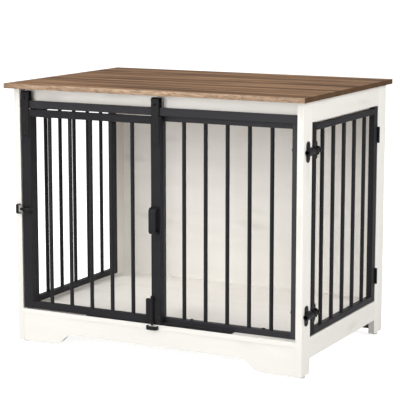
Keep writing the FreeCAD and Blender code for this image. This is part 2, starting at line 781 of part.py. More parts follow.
def slide_bolt(label, make, along, across, lead, throw, knob, knob_side, corner, turn):
    """Plate with two loops and its bolt; local X runs to the tip, Z away from the mounting face."""
    hole = make["radius"] + cell.running_gap
    plate_loop = rounded_rectangle(along, across, make["corner"])
    plate_corner = (-along, -across / 2, length(0))
    parts = [extrusion(f"{label}_base", [plate_loop], cell.bolt_plate, plate_corner, axis_turns["z"])]
    axis_spot = (length(0), cell.bolt_offset)
    loop_spans = [(-along, make["loop"] - along), (-make["loop"], length(0))]
    boss_y = (-make["boss"], make["boss"])
    for index, loop_x in enumerate(loop_spans):
        parts.append(block(f"{label}_cheek_{index}", loop_x, boss_y, (length(0), cell.bolt_offset)))
        parts.append(rod(f"{label}_loop_{index}", "x", axis_spot, loop_x, hole + make["wall"]))
    bore = rod(f"{label}_bore", "x", axis_spot, (-along, length(0)), hole)
    plate = place(cut(f"{label}_plate", fuse(f"{label}_plate_parts", parts), bore), corner, turn)
    tail = throw - make["loop"] / 2
    shaft = rod(f"{label}_shaft", "x", axis_spot, (-along - tail, lead), make["radius"])
    reach = make["radius"] + cell.knob_length
    knob_y = (length(0), reach) if knob_side > 0 else (-reach, length(0))
    stub = rod(f"{label}_stub", "y", (knob, cell.bolt_offset), knob_y, cell.knob_radius)
    bolt = place(fuse(f"{label}_bolt", [shaft, stub]), corner, turn)
    return plate, bolt


# Slide bolt on the left stile, with a staple on the left front leg
staple_x = (-inner_x - cell.staple_inset - cell.staple_width, -inner_x - cell.staple_inset)
latch_edge = door_left + cell.latch_inset
latch_lead = latch_edge - staple_x[1] - cell.tip_gap
latch_knob = open_knob(door_make) - cell.latch_length
latch_throw = cell.latch_length - open_knob(door_make) * 2
latch_turn = (Vector(-1, 0, 0), Vector(0, 0, -1), Vector(0, -1, 0))
latch_corner = (latch_edge, door_y[0], latch_z)
latch_plate, latch_bolt = slide_bolt(
    "latch", door_make, cell.latch_length, cell.latch_width, latch_lead, latch_throw, latch_knob, 1,
    latch_corner, latch_turn,
)
piece("door_latch_plate", latch_plate)
piece("door_latch_bolt", latch_bolt)
rivet_reach = door_y[0] + cell.tube_wall + cell.rivet_tail
rivet_seat = door_y[0] - cell.bolt_plate
rivet_off = cell.latch_width / 2 - cell.plate_corner
for height in (latch_z - rivet_off, latch_z + rivet_off):
    spot = (latch_edge + cell.latch_length / 3, height)
    door_screw("y", spot, rivet_seat, rivet_reach, "door_latch_plate", "sliding_door_left_stile")
staple_roots = (cell.staple_root, cell.staple_root)
latch_staple = bow(
    "latch_staple_bow", cell.staple_span, cell.staple_reach, staple_roots, cell.staple_strap,
    cell.staple_bend, cell.staple_width, (staple_x[0], front_y, latch_z), out_turn,
)
pierce(piece("latch_staple", latch_staple), "front_left_leg")

# Drop bolt on the right stile, with a staple on the front edge of the floor board
drop_x = right_stile[0] + cell.drop_inset
drop_foot = door_z[0] + cell.drop_lift
staple_foot = floor_under + cell.drop_staple_lift
drop_lead = drop_foot - staple_foot - cell.drop_staple_width - cell.tip_gap
drop_turn = (Vector(0, 0, -1), Vector(1, 0, 0), Vector(0, -1, 0))
drop_plate, drop_bolt = slide_bolt(
    "drop", door_make, cell.drop_length, cell.drop_width, drop_lead, cell.drop_throw, -cell.drop_knob, -1,
    (drop_x, door_y[0], drop_foot), drop_turn,
)
piece("drop_bolt_plate", drop_plate)
piece("drop_bolt", drop_bolt)
drop_rivet_x = drop_x + cell.drop_width / 2 - cell.screw_head
for share in (1, 3):
    spot = (drop_rivet_x, drop_foot + cell.drop_length * share / 4)
    door_screw("y", spot, rivet_seat, rivet_reach, "drop_bolt_plate", "sliding_door_right_stile")
staple_turn = (Vector(-1, 0, 0), Vector(0, -1, 0), Vector(0, 0, 1))
drop_staple = bow(
    "drop_staple_bow", cell.drop_staple_span, cell.staple_reach, staple_roots, cell.staple_strap,
    cell.staple_bend, cell.drop_staple_width, (drop_x, front_y, staple_foot), staple_turn,
)
pierce(piece("drop_bolt_staple", drop_staple), "floor_board")
piece("sliding_door_screws", group("door_screw_set", door_screws))

# Hinged door in the right side, flush with the outside of the legs
side_x = (half_width - cell.panel_depth, half_width)
side_middle = (side_x[0] + side_x[1]) / 2
side_y = (opening_front + cell.side_door_gap, opening_back - cell.side_door_gap)
side_z = (opening_low + cell.side_door_play, opening_high - cell.side_door_play)
side_stiles = {
    "front": (side_y[0], side_y[0] + cell.panel_stile),
    "rear": (side_y[1] - cell.panel_stile, side_y[1]),
}
side_caps = []
side_stile_z = (side_z[0] + cell.cap_thickness, side_z[1] - cell.cap_thickness)
for end, span in side_stiles.items():
    piece(f"side_door_{end}_stile", tube(f"side_{end}_stile", "z", side_x, span, side_stile_z))
    for tip, cap_z in (("foot", (side_z[0], side_stile_z[0])), ("head", (side_stile_z[1], side_z[1]))):
        side_caps.append(tube(f"side_cap_{end}_{tip}", "z", side_x, span, cap_z, hollow=False))
piece("side_door_caps", group("side_cap_set", side_caps))
between_side = (side_stiles["front"][1], side_stiles["rear"][0])
side_rail_high = side_z[1] - cell.stile_horn
side_rails = {
    "bottom": (side_z[0], side_z[0] + cell.panel_rail),
    "top": (side_rail_high - cell.panel_rail, side_rail_high),
}
rail_pair = [tube(f"side_{level}_tube", "y", side_x, between_side, z) for level, z in side_rails.items()]
piece("side_door_rails", group("side_rail_pair", rail_pair))
side_bar_z = (side_rails["bottom"][1], side_rails["top"][0])
side_places = pitched_places(*between_side, cell.side_bar_pitch)
bars("side_door_bars", "y", side_places, side_x, side_bar_z)

# Hinges in the gap at the rear, with their knuckles outside
hinge_x = half_width + cell.hinge_out
hinge_y = opening_back - cell.side_door_gap / 2
hinge_spot = (hinge_x, hinge_y)
leaf_x = (hinge_x - cell.hinge_depth, hinge_x - cell.hinge_knuckle - cell.knuckle_gap)
neck_x = (leaf_x[1], hinge_x)
door_leaf_y = (side_y[1], side_y[1] + cell.hinge_leaf)
leg_leaf_y = (opening_back - cell.hinge_leaf, opening_back)
leg_leaves, door_leaves, pins = [], [], []
for level, middle in (("high", side_z[1] - cell.hinge_drop), ("low", side_z[0] + cell.hinge_rise)):
    low, high = middle - cell.hinge_length / 2, middle + cell.hinge_length / 2
    third = cell.hinge_length / 3
    joints = (low + third, high - third)
    leg_parts = [block(f"leg_leaf_{level}", leaf_x, leg_leaf_y, (low, high))]
    for name, span in (("foot", (low, joints[0])), ("head", (joints[1], high))):
        leg_parts.append(block(f"leg_neck_{name}_{level}", neck_x, leg_leaf_y, span))
        leg_parts.append(rod(f"leg_knuckle_{name}_{level}", "z", hinge_spot, span, cell.hinge_knuckle))
    inner_span = (joints[0] + cell.knuckle_gap, joints[1] - cell.knuckle_gap)
    door_parts = [
        block(f"door_leaf_{level}", leaf_x, door_leaf_y, (low, high)),
        block(f"door_neck_{level}", neck_x, door_leaf_y, inner_span),
        rod(f"door_knuckle_{level}", "z", hinge_spot, inner_span, cell.hinge_knuckle),
    ]
    hinge_rod = rod(f"hinge_rod_{level}", "z", hinge_spot, (low, high), cell.hinge_pin)
    pins.append(hinge_rod)
    leg_leaves.append(cut(f"leg_hinge_{level}", fuse(f"leg_hinge_parts_{level}", leg_parts), hinge_rod))
    eye = rod(f"hinge_eye_{level}", "z", hinge_spot, inner_span, cell.hinge_pin + cell.running_gap)
    door_leaves.append(cut(f"door_hinge_{level}", fuse(f"door_hinge_parts_{level}", door_parts), eye))
    for height in (low + third / 2, high - third / 2):
        spot = ((leaf_x[0] + leaf_x[1]) / 2, height)
        tip = opening_back + cell.screw_depth
        nail = rod(f"hinge_screw_{len(cabinet_screws)}", "y", spot, (leg_leaf_y[0], tip), cell.screw_radius)
        cabinet_screws.append(nail)
        pierce(nail, "hinge_leg_leaves", "rear_right_leg")
piece("hinge_leg_leaves", group("leg_leaf_pair", leg_leaves))
piece("hinge_door_leaves", group("door_leaf_pair", door_leaves))
piece("hinge_pins", group("hinge_pin_pair", pins))

# Slide bolts on the side door, with keepers on the right front leg
bolt_turn = (Vector(0, -1, 0), Vector(0, 0, -1), Vector(1, 0, 0))
bolt_edge = side_y[0] + cell.side_bolt_inset
barrel_back = opening_front - cell.keeper_edge
bolt_lead = bolt_edge - barrel_back - cell.tip_gap
bolt_throw = cell.side_bolt_length - open_knob(side_make) * 2
bolt_knob = open_knob(side_make) - cell.side_bolt_length
keeper_front = opening_front - (cell.leg_width + cell.keeper_width) / 2
barrel_span = (keeper_front - cell.keeper_nose, barrel_back)
keeper_turn = axis_turns["x"]
keepers, bolt_plates, side_screws = [], [], []
bolt_levels = {"upper": side_z[1] - cell.side_bolt_drop, "lower": side_z[0] + cell.side_bolt_rise}
for level, height in bolt_levels.items():
    plate, bolt = slide_bolt(
        f"{level}_side", side_make, cell.side_bolt_length, cell.side_bolt_width, bolt_lead, bolt_throw,
        bolt_knob, 1, (half_width, bolt_edge, height), bolt_turn,
    )
    bolt_plates.append(plate)
    piece(f"{level}_side_bolt", bolt)
    outline = rounded_rectangle(cell.keeper_width, cell.keeper_length, cell.side_plate_corner)
    keeper_corner = (half_width, keeper_front, height - cell.keeper_length / 2)
    base = extrusion(f"{level}_keeper_base", [outline], cell.bolt_plate, keeper_corner, keeper_turn)
    barrel_spot = (half_width + cell.bolt_offset, height)
    boss_x, boss_z = (half_width, barrel_spot[0]), (height - cell.side_boss, height + cell.side_boss)
    boss = block(f"{level}_keeper_boss", boss_x, (keeper_front, barrel_back), boss_z)
    barrel = rod(f"{level}_barrel", "y", barrel_spot, barrel_span, cell.keeper_barrel)
    bore = rod(f"{level}_barrel_bore", "y", barrel_spot, barrel_span, cell.keeper_bore)
    keepers.append(cut(f"{level}_keeper", fuse(f"{level}_keeper_parts", [base, boss, barrel]), bore))
    face = half_width + cell.bolt_plate
    rivet_step = cell.side_bolt_width / 2 - cell.plate_corner
    screw_step = cell.keeper_length / 2 - cell.plate_corner
    for sign in (-1, 1):
        spot = (bolt_edge + cell.side_bolt_length / 2, height + rivet_step * sign)
        tip = half_width - cell.tube_wall - cell.rivet_tail
        rivet = screw(f"side_rivet_{len(side_screws)}", "x", spot, face, tip)
        side_screws.append(rivet)
        pierce(rivet, "side_bolt_plates", "side_door_front_stile")
        spot = (keeper_front + cell.keeper_width / 2, height + screw_step * sign)
        tip = half_width - cell.screw_depth
        panel_screw("x", spot, face, tip, "side_bolt_keepers", "front_right_leg", head=small_head)
piece("side_bolt_keepers", group("keeper_pair", keepers))
piece("side_bolt_plates", group("side_plate_pair", bolt_plates))
piece("side_door_screws", group("side_screw_set", side_screws))
piece("cabinet_screws", group("cabinet_screw_set", cabinet_screws))

# Holes, checks and files
nodes = []
for label, item in pieces.items():
    if label in bores:
        item = cut(f"{label}_bored", item, group(f"{label}_bores", bores[label]))
    item.Label = label
    nodes.append(item)
doc.recompute()
failed = [item.Name for item in doc.Objects if "Invalid" in item.State or "Error" in item.State]
if failed:
    raise RuntimeError(f"failed objects: {failed}")
for item in nodes:
    if item.Shape.isNull() or not item.Shape.isValid() or not item.Shape.Solids:
        raise RuntimeError(f"{item.Label} has no valid solid")
os.makedirs("parts", exist_ok=True)
for item in nodes:
    item.Shape.exportStep(f"parts/{item.Label}.step")
print(len(nodes), "nodes,", sum(len(item.Shape.Solids) for item in nodes), "solids")
print("door travel", (inner_x * 2 - cell.door_width - cell.door_side_gap * 2).value)
print("latch throw", latch_throw.value, "side bolt throw", bolt_throw.value)
print("hinge axis", hinge_x.value, hinge_y.value, "roller axis", roller_z.value)
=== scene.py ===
import bpy
import bmesh
import json
import math
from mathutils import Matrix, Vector


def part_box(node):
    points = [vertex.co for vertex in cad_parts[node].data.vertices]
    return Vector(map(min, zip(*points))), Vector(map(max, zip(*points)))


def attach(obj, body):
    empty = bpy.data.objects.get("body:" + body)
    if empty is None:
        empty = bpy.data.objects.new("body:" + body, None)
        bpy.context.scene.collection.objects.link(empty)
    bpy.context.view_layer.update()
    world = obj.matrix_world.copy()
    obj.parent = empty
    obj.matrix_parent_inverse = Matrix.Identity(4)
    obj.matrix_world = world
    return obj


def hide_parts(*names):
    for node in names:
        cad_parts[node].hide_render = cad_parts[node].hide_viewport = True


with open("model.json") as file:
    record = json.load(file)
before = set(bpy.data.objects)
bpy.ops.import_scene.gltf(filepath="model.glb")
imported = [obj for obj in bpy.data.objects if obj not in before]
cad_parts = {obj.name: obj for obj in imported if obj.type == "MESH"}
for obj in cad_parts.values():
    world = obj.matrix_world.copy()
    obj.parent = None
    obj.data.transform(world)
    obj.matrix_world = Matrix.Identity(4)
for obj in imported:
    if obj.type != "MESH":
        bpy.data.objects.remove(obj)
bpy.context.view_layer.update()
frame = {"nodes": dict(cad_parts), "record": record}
nodes = frame["nodes"]
scene = bpy.context.scene
print("frame loaded,", len(nodes), "nodes")

# reading the frame


def solidsOf(nodeName):  # the points of each separate solid in a node
    mesh = bmesh.new()
    mesh.from_mesh(nodes[nodeName].data)
    bmesh.ops.remove_doubles(mesh, verts=mesh.verts, dist=1e-6)
    seen, solids = set(), []
    for start in mesh.verts:
        if start in seen:
            continue
        stack, points = [start], []
        seen.add(start)
        while stack:
            vert = stack.pop()
            points.append(vert.co.copy())
            for edge in vert.link_edges:
                other = edge.other_vert(vert)
                if other not in seen:
                    seen.add(other)
                    stack.append(other)
        solids.append(points)
    mesh.free()
    return solids


def spanOf(points):
    low = Vector([min(p[k] for p in points) for k in range(3)])
    high = Vector([max(p[k] for p in points) for k in range(3)])
    return low, high


def boxOf(nodeName):
    low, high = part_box(nodeName)
    return Vector(low), Vector(high)


# node helpers


def addNode(tree, kind, inputs=None, **props):
    item = tree.nodes.new(kind)
    for key, value in props.items():
        setattr(item, key, value)
    for key, value in (inputs or {}).items():
        if isinstance(value, bpy.types.NodeSocket):
            tree.links.new(value, item.inputs[key])
        else:
            item.inputs[key].default_value = value
    return item


def newGroup(name, kind, inputs, outputs):
    tree = bpy.data.node_groups.new(name, kind)
    for label, socketKind, value in inputs:
        socket = tree.interface.new_socket(label, in_out="INPUT", socket_type=socketKind)
        if value is not None:
            socket.default_value = value
    for label, socketKind in outputs:
        tree.interface.new_socket(label, in_out="OUTPUT", socket_type=socketKind)
    return tree, addNode(tree, "NodeGroupInput").outputs, addNode(tree, "NodeGroupOutput").inputs


def firstOut(tree, kind, inputs=None, **props):
    return addNode(tree, kind, inputs, **props).outputs[0]


def maths(tree, operation, first, second=0.0):
    return firstOut(tree, "ShaderNodeMath", {0: first, 1: second}, operation=operation)


def vectorMaths(tree, operation, first, second):
    return firstOut(tree, "ShaderNodeVectorMath", {0: first, 1: second}, operation=operation)


def vector(tree, x=0.0, y=0.0, z=0.0):
    return firstOut(tree, "ShaderNodeCombineXYZ", {"X": x, "Y": y, "Z": z})


def noise(tree, place, scale, detail, roughness=0.5):
    inputs = {"Vector": place, "Scale": scale, "Detail": detail, "Roughness": roughness}
    return addNode(tree, "ShaderNodeTexNoise", inputs).outputs


def remap(tree, value, fromLow, fromHigh, toLow, toHigh):
    limits = {"From Min": fromLow, "From Max": fromHigh, "To Min": toLow, "To Max": toHigh}
    return firstOut(tree, "ShaderNodeMapRange", dict(limits, Value=value))


def mixColour(tree, factor, first, second, blend="MIX"):
    item = addNode(tree, "ShaderNodeMix", data_type="RGBA", blend_type=blend)
    for index, value in ((0, factor), (6, first), (7, second)):
        if isinstance(value, bpy.types.NodeSocket):
            tree.links.new(value, item.inputs[index])
        else:
            item.inputs[index].default_value = value
    return item.outputs[2]


# shared effects


def buildGrainGroup():  # wood grain along X
    inputs = [
        ("Vector", "NodeSocketVector", None), ("Stretch", "NodeSocketFloat", 0.05),
        ("Bands", "NodeSocketFloat", 12.0), ("Fibres", "NodeSocketFloat", 220.0),
        ("Knots", "NodeSocketFloat", 2.0), ("Shift", "NodeSocketFloat", 0.0),
    ]
    outputs = [("Band", "NodeSocketFloat"), ("Fibre", "NodeSocketFloat"), ("Knot", "NodeSocketFloat")]
    tree, given, result = newGroup("boardGrain", "ShaderNodeTree", inputs, outputs)
    drawn = vectorMaths(tree, "MULTIPLY", given["Vector"], vector(tree, given["Stretch"], 1.0, 1.0))
    drawn = vectorMaths(tree, "ADD", drawn, vector(tree, given["Shift"], given["Shift"], given["Shift"]))
    sway = vectorMaths(tree, "SUBTRACT", noise(tree, drawn, 7.0, 2.0)["Color"], (0.5, 0.5, 0.5))
    curled = vectorMaths(tree, "ADD", drawn, vectorMaths(tree, "MULTIPLY", sway, (0.05, 0.05, 0.05)))
    short = vectorMaths(tree, "MULTIPLY", curled, (4.0, 1.0, 1.0))
    cells = addNode(tree, "ShaderNodeTexVoronoi", {"Vector": short, "Scale": given["Knots"]}).outputs
    lot = addNode(tree, "ShaderNodeSeparateColor", {"Color": cells["Color"]}).outputs["Red"]
    rare = maths(tree, "GREATER_THAN", lot, 0.15)
    knot = maths(tree, "MULTIPLY", remap(tree, cells["Distance"], 0.05, 0.26, 1.0, 0.0), rare)
    bend = maths(tree, "MULTIPLY", knot, 0.04)
    parted = vectorMaths(tree, "ADD", curled, vector(tree, 0.0, bend, bend))
    bands = noise(tree, parted, given["Bands"], 5.0, 0.62)["Fac"]
    fibres = noise(tree, parted, given["Fibres"], 3.0, 0.7)["Fac"]
    tree.links.new(remap(tree, bands, 0.3, 0.7, 0.0, 1.0), result["Band"])
    tree.links.new(remap(tree, fibres, 0.3, 0.7, 0.0, 1.0), result["Fibre"])
    tree.links.new(knot, result["Knot"])
    return tree


def buildCoatGroup():  # the fine skin of a powder coat or a moulding
    inputs = [
        ("Vector", "NodeSocketVector", None), ("Grit", "NodeSocketFloat", 900.0),
        ("Cloud", "NodeSocketFloat", 9.0),
    ]
    outputs = [("Grain", "NodeSocketFloat"), ("Patch", "NodeSocketFloat"), ("Scuff", "NodeSocketFloat")]
    tree, given, result = newGroup("sprayedSkin", "ShaderNodeTree", inputs, outputs)
    grit = noise(tree, given["Vector"], given["Grit"], 2.0)["Fac"]
    cloud = noise(tree, given["Vector"], given["Cloud"], 4.0)["Fac"]
    scratch = noise(tree, given["Vector"], 140.0, 6.0)["Fac"]
    tree.links.new(grit, result["Grain"])
    tree.links.new(remap(tree, cloud, 0.35, 0.65, 0.0, 1.0), result["Patch"])
    tree.links.new(remap(tree, scratch, 0.62, 0.75, 0.0, 1.0), result["Scuff"])
    return tree


grainGroup = buildGrainGroup()
coatGroup = buildCoatGroup()

# materials


def startMaterial(name, roughness, specular):
    material = bpy.data.materials.new(name)
    material.use_nodes = True
    tree = material.node_tree
    shader = tree.nodes["Principled BSDF"]
    shader.inputs["Roughness"].default_value = roughness
    shader.inputs["Specular IOR Level"].default_value = specular
    place = addNode(tree, "ShaderNodeTexCoord").outputs["Object"]
    return material, tree, shader, place


def addBump(tree, shader, height, strength, distance):
    bump = addNode(tree, "ShaderNodeBump", {"Height": height, "Strength": strength, "Distance": distance})
    tree.links.new(bump.outputs["Normal"], shader.inputs["Normal"])


def facingMask(tree, axis):  # 1 on faces square to an axis
    normal = addNode(tree, "ShaderNodeTexCoord").outputs["Normal"]
    facing = addNode(tree, "ShaderNodeSeparateXYZ", {"Vector": normal}).outputs[axis]
    return maths(tree, "GREATER_THAN", maths(tree, "ABSOLUTE", facing), 0.7)


def insideBelow(tree, place, height):  # 1 on front-facing faces below a height
    tall = addNode(tree, "ShaderNodeSeparateXYZ", {"Vector": place}).outputs["Z"]
    normal = addNode(tree, "ShaderNodeTexCoord").outputs["Normal"]
    facing = addNode(tree, "ShaderNodeSeparateXYZ", {"Vector": normal}).outputs["Y"]
    below = maths(tree, "LESS_THAN", tall, height)
    return maths(tree, "MULTIPLY", below, maths(tree, "LESS_THAN", facing, -0.7))


def grainOf(tree, place, shift, look):  # the grain group with the settings of a look
    inputs = {"Vector": place, "Shift": shift}
    for label in ("Stretch", "Bands", "Fibres", "Knots"):
        inputs[label] = look[label.lower()]
    return addNode(tree, "ShaderNodeGroup", inputs, node_tree=grainGroup).outputs


grainTurns = {"x": (0.0, 0.0, 0.0), "y": (0.0, 0.0, math.pi / 2), "z": (0.0, math.pi / 2, 0.0)}
whiteBoard = {"bands": 9.0, "fibres": 190.0, "knots": 11.0, "stretch": 0.07, "roughness": 0.5}
outerWhite = {
    "pale": (0.80, 0.782, 0.738, 1.0), "grey": (0.715, 0.695, 0.648, 1.0),
    "knot": (0.53, 0.505, 0.46, 1.0),
}
# painted light: a lighter copy of the one white paint, for the boards inside the crate and the front top
# rail under the overhang, which stand in shade
paintedLightWhite = {
    "pale": (0.985, 0.962, 0.915, 1.0), "grey": (0.90, 0.876, 0.826, 1.0),
    "knot": (0.66, 0.63, 0.57, 1.0),
}
# the floor board's front and back faces are multiplied back down from the painted light towards the outer
# white
floorWhite = dict(paintedLightWhite, edge=(0.83, 0.83, 0.83, 1.0))
# painted shade: the back panel's inner face below the floor board gets a dark tone for the shade under
# the floor
backWhite = dict(paintedLightWhite, underFloorPaintedShade=(0.12, 0.113, 0.10, 1.0), underFloorShadeTop=boxOf("floor_board")[0].z)


def buildWhiteBoard(name, along, shift, colours):
    look = dict(whiteBoard, **colours)
    material, tree, shader, place = startMaterial(name, look["roughness"], 0.35)
    turned = firstOut(tree, "ShaderNodeMapping", {"Vector": place, "Rotation": grainTurns[along]})
    grain = grainOf(tree, turned, shift, look)
    body = mixColour(tree, grain["Band"], look["grey"], look["pale"])
    thin = maths(tree, "MULTIPLY", grain["Fibre"], 0.22)
    body = mixColour(tree, thin, body, look["grey"])
    spot = maths(tree, "MULTIPLY", maths(tree, "POWER", grain["Knot"], 1.5), 0.45)
    body = mixColour(tree, spot, body, look["knot"])
    if "edge" in look:
        body = mixColour(tree, facingMask(tree, "Y"), body, look["edge"], "MULTIPLY")
    if "underFloorPaintedShade" in look:  # painted shade: the front face of the back panel under the floor is darkened for the shade there
        body = mixColour(tree, insideBelow(tree, place, look["underFloorShadeTop"]), body, look["underFloorPaintedShade"], "MULTIPLY")
    tree.links.new(body, shader.inputs["Base Color"])
    tree.links.new(remap(tree, grain["Fibre"], 0.0, 1.0, 0.44, 0.58), shader.inputs["Roughness"])
    addBump(tree, shader, grain["Fibre"], 0.12, 0.0004)
    return material


brownTop = {
    "dark": (0.092, 0.044, 0.021, 1.0), "mid": (0.215, 0.117, 0.058, 1.0),
    "light": (0.36, 0.208, 0.108, 1.0), "knot": (0.04, 0.019, 0.011, 1.0),
    "edge": (1.75, 2.2, 2.9, 1.0), "end": (0.40, 0.385, 0.37, 1.0),
    "bands": 21.0, "fibres": 84.0, "knots": 9.0, "stretch": 0.05,
}
topFlecks = {"bands": 150.0, "fibres": 220.0, "knots": 2.0, "stretch": 0.055}
frontMottle = {"bands": 170.0, "fibres": 220.0, "knots": 2.0, "stretch": 0.3}


def buildBrownTop():
    look = brownTop
    material, tree, shader, place = startMaterial("brownTop", 0.6, 0.12)
    grain = grainOf(tree, place, 3.7, look)
    ramp = addNode(tree, "ShaderNodeValToRGB", {"Fac": grain["Band"]})
    stops = ramp.color_ramp.elements
    stops[0].position, stops[0].color = 0.2, look["dark"]
    stops[1].position, stops[1].color = 0.72, look["light"]
    middle = stops.new(0.44)
    middle.color = look["mid"]
    thin = remap(tree, grain["Fibre"], 0.5, 0.9, 0.0, 0.7)
    body = mixColour(tree, thin, ramp.outputs["Color"], look["dark"])
    short = remap(tree, grainOf(tree, place, 8.3, topFlecks)["Band"], 0.55, 1.0, 0.0, 0.75)
    body = mixColour(tree, short, body, look["dark"])
    spot = maths(tree, "MULTIPLY", maths(tree, "POWER", grain["Knot"], 2.0), 0.75)
    body = mixColour(tree, spot, body, look["knot"])
    frontFace, endFace = facingMask(tree, "Y"), facingMask(tree, "X")
    mottle = remap(tree, grainOf(tree, place, 2.1, frontMottle)["Band"], 0.35, 0.95, 0.0, 0.8)
    patchy = maths(tree, "MULTIPLY", mottle, frontFace)
    body = mixColour(tree, patchy, body, look["dark"])
    body = mixColour(tree, frontFace, body, look["edge"], "MULTIPLY")
    body = mixColour(tree, maths(tree, "MULTIPLY", endFace, 0.75), body, look["mid"])
    body = mixColour(tree, endFace, body, look["end"], "MULTIPLY")
    tree.links.new(body, shader.inputs["Base Color"])
    tree.links.new(remap(tree, grain["Fibre"], 0.0, 1.0, 0.55, 0.7), shader.inputs["Roughness"])
    addBump(tree, shader, grain["Fibre"], 0.2, 0.0005)
    return material


coats = {  # colour, worn colour, roughness, grit, bump, specular
    "charcoalSteel": ((0.0145, 0.0139, 0.0163), (0.0215, 0.0206, 0.0238), 0.45, 800.0, 0.15, 0.14),
    # painted light and shade: the next three steels are lighter and darker copies of charcoalSteel
    "steelPaintedLight": ((0.040, 0.0385, 0.0425), (0.052, 0.0502, 0.0552), 0.45, 800.0, 0.15, 0.14),
    "steelPaintedHalfLight": ((0.0275, 0.0264, 0.030), (0.036, 0.0346, 0.0392), 0.45, 800.0, 0.15, 0.14),
    "steelPaintedShade": ((0.0125, 0.012, 0.0132), (0.019, 0.0182, 0.02), 0.5, 800.0, 0.15, 0.05),
    "blackHardware": ((0.010, 0.0098, 0.011), (0.017, 0.0168, 0.0184), 0.4, 1100.0, 0.12, 0.16),
    "blackFastener": ((0.011, 0.011, 0.012), (0.024, 0.024, 0.026), 0.4, 1500.0, 0.08, 0.25),
    "blackMoulding": ((0.012, 0.012, 0.013), (0.02, 0.02, 0.021), 0.5, 600.0, 0.2, 0.35),
    "paleMoulding": ((0.62, 0.62, 0.60), (0.52, 0.52, 0.50), 0.45, 600.0, 0.1, 0.35),
    "dowelBeech": ((0.50, 0.34, 0.19), (0.40, 0.26, 0.14), 0.6, 300.0, 0.2, 0.35),
}


def buildCoated(name, colour, worn, roughness, grit, bump, specular):
    material, tree, shader, place = startMaterial(name, roughness, specular)
    skin = addNode(tree, "ShaderNodeGroup", {"Vector": place, "Grit": grit}, node_tree=coatGroup).outputs
    tone = maths(tree, "MULTIPLY", skin["Patch"], 0.35)
    body = mixColour(tree, tone, (*colour, 1.0), (*worn, 1.0))
    rubbed = maths(tree, "MULTIPLY", skin["Scuff"], 0.25)
    body = mixColour(tree, rubbed, body, (*worn, 1.0))
    tree.links.new(body, shader.inputs["Base Color"])
    spread = remap(tree, skin["Patch"], 0.0, 1.0, roughness - 0.05, roughness + 0.07)
    tree.links.new(spread, shader.inputs["Roughness"])
    addBump(tree, shader, skin["Grain"], bump, 0.0003)
    return material


# the back, rail and floor boards use the lighter white of painted light
boards = {
    "x": buildWhiteBoard("whiteBoardX", "x", 1.3, outerWhite),
    "y": buildWhiteBoard("whiteBoardY", "y", 5.1, outerWhite),
    "z": buildWhiteBoard("whiteBoardZ", "z", 9.2, outerWhite),
    "back": buildWhiteBoard("whiteBack", "x", 12.4, backWhite),
    "railPaintedLight": buildWhiteBoard("whiteRailPaintedLight", "x", 3.4, paintedLightWhite),
    "floor": buildWhiteBoard("whiteFloor", "x", 6.6, floorWhite),
}
topFinish = buildBrownTop()
coated = {name: buildCoated(name, *values) for name, values in coats.items()}
print("materials built")

slotFinishes = {
    "brown_top": topFinish, "dowel_wood": coated["dowelBeech"], "black_steel": coated["charcoalSteel"],
    "black_hardware": coated["blackHardware"], "black_fastener": coated["blackFastener"],
    "black_plastic": coated["blackMoulding"], "pale_plastic": coated["paleMoulding"],
}
boardGrain = {
    "front_left_leg": "z", "front_right_leg": "z", "rear_left_leg": "z", "rear_right_leg": "z",
    "left_top_rail": "y", "right_top_rail": "y", "left_bottom_rail": "y", "right_bottom_rail": "y",
    "front_top_rail": "railPaintedLight", "front_apron": "x", "floor_board": "floor", "back_panel": "back",
}
# painted light and shade: pieces of the one powder coat get lighter or darker copies by how much light
# reaches them
steelPaintedTones = {
    "door_track": "steelPaintedHalfLight", "front_panel_rails": "steelPaintedHalfLight", "front_panel_right_stile": "steelPaintedLight",
    "front_panel_left_stile": "steelPaintedLight", "side_door_front_stile": "steelPaintedShade",
}
for part in frame["record"]["subparts"]:
    name = part["node"]
    if name in boardGrain:
        finish = boards[boardGrain[name]]
    elif name in steelPaintedTones:
        finish = coated[steelPaintedTones[name]]
    else:
        finish = slotFinishes[part["material_slot"]]
    nodes[name].data.materials.clear()
    nodes[name].data.materials.append(finish)
print("carried-over nodes dressed")

# new pieces


def pieceName(nodeName, ending):
    return nodeName.title().replace("_", "") + ending


def finishPiece(obj, body, slotName, *replaced):
    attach(obj, body)
    if replaced:
        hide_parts(*replaced)


def meshPiece(name, mesh, material, smooth=True):
    data = bpy.data.meshes.new(name)
    bmesh.ops.recalc_face_normals(mesh, faces=mesh.faces)
    mesh.to_mesh(data)
    mesh.free()
    data.materials.append(material)
    for face in data.polygons:
        face.use_smooth = smooth
    if smooth:
        data.set_sharp_from_angle(angle=math.radians(35))
    obj = bpy.data.objects.new(name, data)
    scene.collection.objects.link(obj)
    return obj


def addTurned(mesh, profile, centre, along, segments=40):  # profile of (along, radius) pairs
    along = along.normalized()
    side = along.orthogonal().normalized()
    up = along.cross(side)
    rings = []
    for reach, radius in profile:
        if radius < 1e-9:
            rings.append([mesh.verts.new(centre + along * reach)])
            continue
        ring = []
        for k in range(segments):
            turn = 2 * math.pi * k / segments
            spoke = (side * math.cos(turn) + up * math.sin(turn)) * radius
            ring.append(mesh.verts.new(centre + along * reach + spoke))
        rings.append(ring)
    for first, second in zip(rings, rings[1:]):
        for k in range(segments):
            nextK = (k + 1) % segments
            if len(first) == 1:
                mesh.faces.new((first[0], second[k], second[nextK]))
            elif len(second) == 1:
                mesh.faces.new((first[k], first[nextK], second[0]))
            else:
                mesh.faces.new((first[k], first[nextK], second[nextK], second[k]))
    return rings


glide = {"round": 0.0018, "pin": 0.003}


